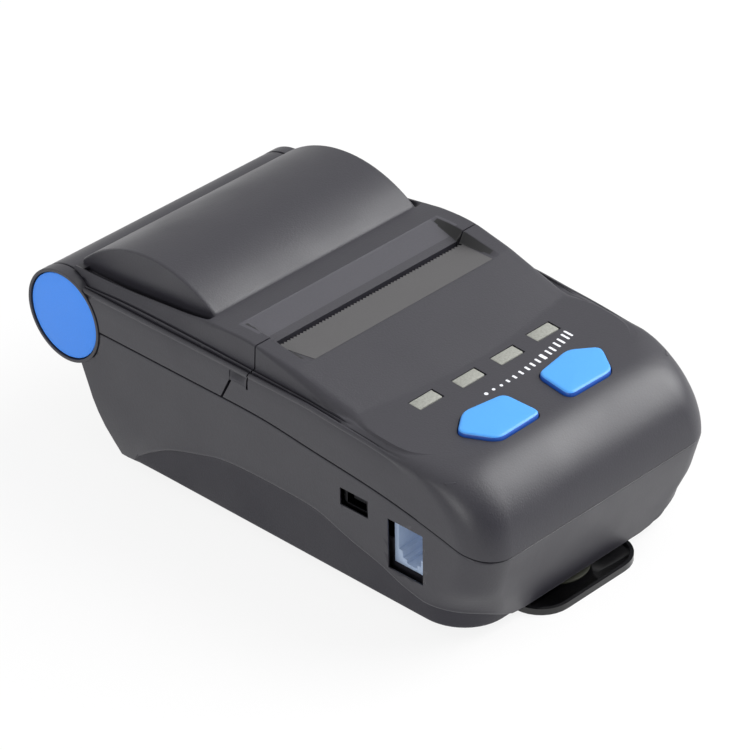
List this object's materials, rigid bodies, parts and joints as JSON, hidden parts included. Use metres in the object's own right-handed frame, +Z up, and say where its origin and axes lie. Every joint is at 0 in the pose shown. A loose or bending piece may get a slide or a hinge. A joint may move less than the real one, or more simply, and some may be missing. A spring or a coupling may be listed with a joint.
{
  "type": "receipt printer",
  "caption": "Pocket receipt printer with a hinged paper cover, serrated tear slot, feed and power buttons, side sockets and a sprung belt clip",
  "frame": {"origin": "bottom centre of the bounding box, on the underside of the belt clip", "axes": "+X across the printer, the side with the sockets is -X; +Y towards the hinge; +Z up"},
  "size_m": [0.0764, 0.1426, 0.0568],
  "materials": {
    "casing": "fine textured moulded ABS, dark grey",
    "cover": "fine textured moulded ABS, dark grey",
    "disc": "smooth moulded ABS, blue",
    "button": "smooth moulded ABS, light blue",
    "window": "frosted polycarbonate",
    "board": "glass-epoxy laminate with green solder mask",
    "steel": "zinc-plated or stainless steel",
    "aluminium": "plain aluminium",
    "clip": "smooth black nylon",
    "rubber": "ground silicone rubber",
    "inner": "black moulded plastic",
    "jack": "pale blue-grey moulded nylon",
    "nylon": "natural acetal",
    "battery": "shrink film over the cell",
    "pad": "soft rubber"
  },
  "bodies": {
    "base": {"bottom_shell": "casing", "front_shell": "casing", "hinge_disc_left": "disc", "hinge_disc_right": "disc", "hinge_pin_left": "steel", "hinge_pin_right": "steel", "head_spring_left": "steel", "head_spring_right": "steel", "paper_tray": "inner", "paper_sensor": "inner", "mechanism_frame": "steel", "print_head": "aluminium", "tear_bar": "steel", "drive_motor": "aluminium", "idler_axle": "steel", "main_board": "board", "radio_module": "steel", "buzzer": "inner", "battery_pack": "battery", "usb_socket": "steel", "serial_jack": "jack", "left_switch": "inner", "right_switch": "inner", "light_window_1": "window", "light_window_2": "window", "light_window_3": "window", "light_window_4": "window", "clip_pin": "steel", "clip_spring": "steel", "case_screw_1": "steel", "case_screw_2": "steel", "case_screw_3": "steel", "case_screw_4": "steel", "frame_screw_1": "steel", "frame_screw_2": "steel"},
    "cover": {"paper_cover": "cover", "platen_bracket": "steel", "bracket_screw_1": "steel", "bracket_screw_2": "steel", "platen_bush_left": "nylon", "platen_bush_right": "nylon"},
    "platen": {"platen_roller": "rubber", "platen_shaft": "steel", "platen_gear": "nylon"},
    "idler": {"idler_gear": "nylon"},
    "pinion": {"motor_pinion": "nylon"},
    "feed_key": {"left_button": "button", "left_plunger": "rubber"},
    "power_key": {"right_button": "button", "right_plunger": "rubber"},
    "clip": {"belt_clip": "clip", "clip_pad": "pad"}
  },
  "joints": [
    {"name": "cover_hinge", "type": "hinge", "parent": "base", "child": "cover", "pos_m": [0, 0.05958, 0.0344], "axis": [-1, 0, 0], "range_deg": [0, 95]},
    {"name": "platen_spin", "type": "hinge", "parent": "cover", "child": "platen", "pos_m": [0, 0.00308, 0.0411], "axis": [1, 0, 0], "continuous": true},
    {"name": "idler_spin", "type": "hinge", "parent": "base", "child": "idler", "pos_m": [0.0324, -0.00836, 0.03865], "axis": [1, 0, 0], "continuous": true},
    {"name": "pinion_spin", "type": "hinge", "parent": "base", "child": "pinion", "pos_m": [0.0324, -0.01746, 0.0367], "axis": [1, 0, 0], "continuous": true},
    {"name": "feed_press", "type": "slide", "parent": "base", "child": "feed_key", "axis": [0, 0, -1], "range_m": [0, 0.0008], "stiffness_N_per_m": 1200, "springref_m": -0.0005},
    {"name": "power_press", "type": "slide", "parent": "base", "child": "power_key", "axis": [0, 0, -1], "range_m": [0, 0.0008], "stiffness_N_per_m": 1200, "springref_m": -0.0005},
    {"name": "clip_hinge", "type": "hinge", "parent": "base", "child": "clip", "pos_m": [0, 0.00868, 0.004], "axis": [1, 0, 0], "range_deg": [0, 20], "stiffness_Nm_per_rad": 0.15, "springref_deg": -28.65}
  ],
  "couplings": [
    {"joint": "idler_spin", "follows": "platen_spin", "ratio": -0.69565},
    {"joint": "pinion_spin", "follows": "platen_spin", "ratio": 2}
  ]
}
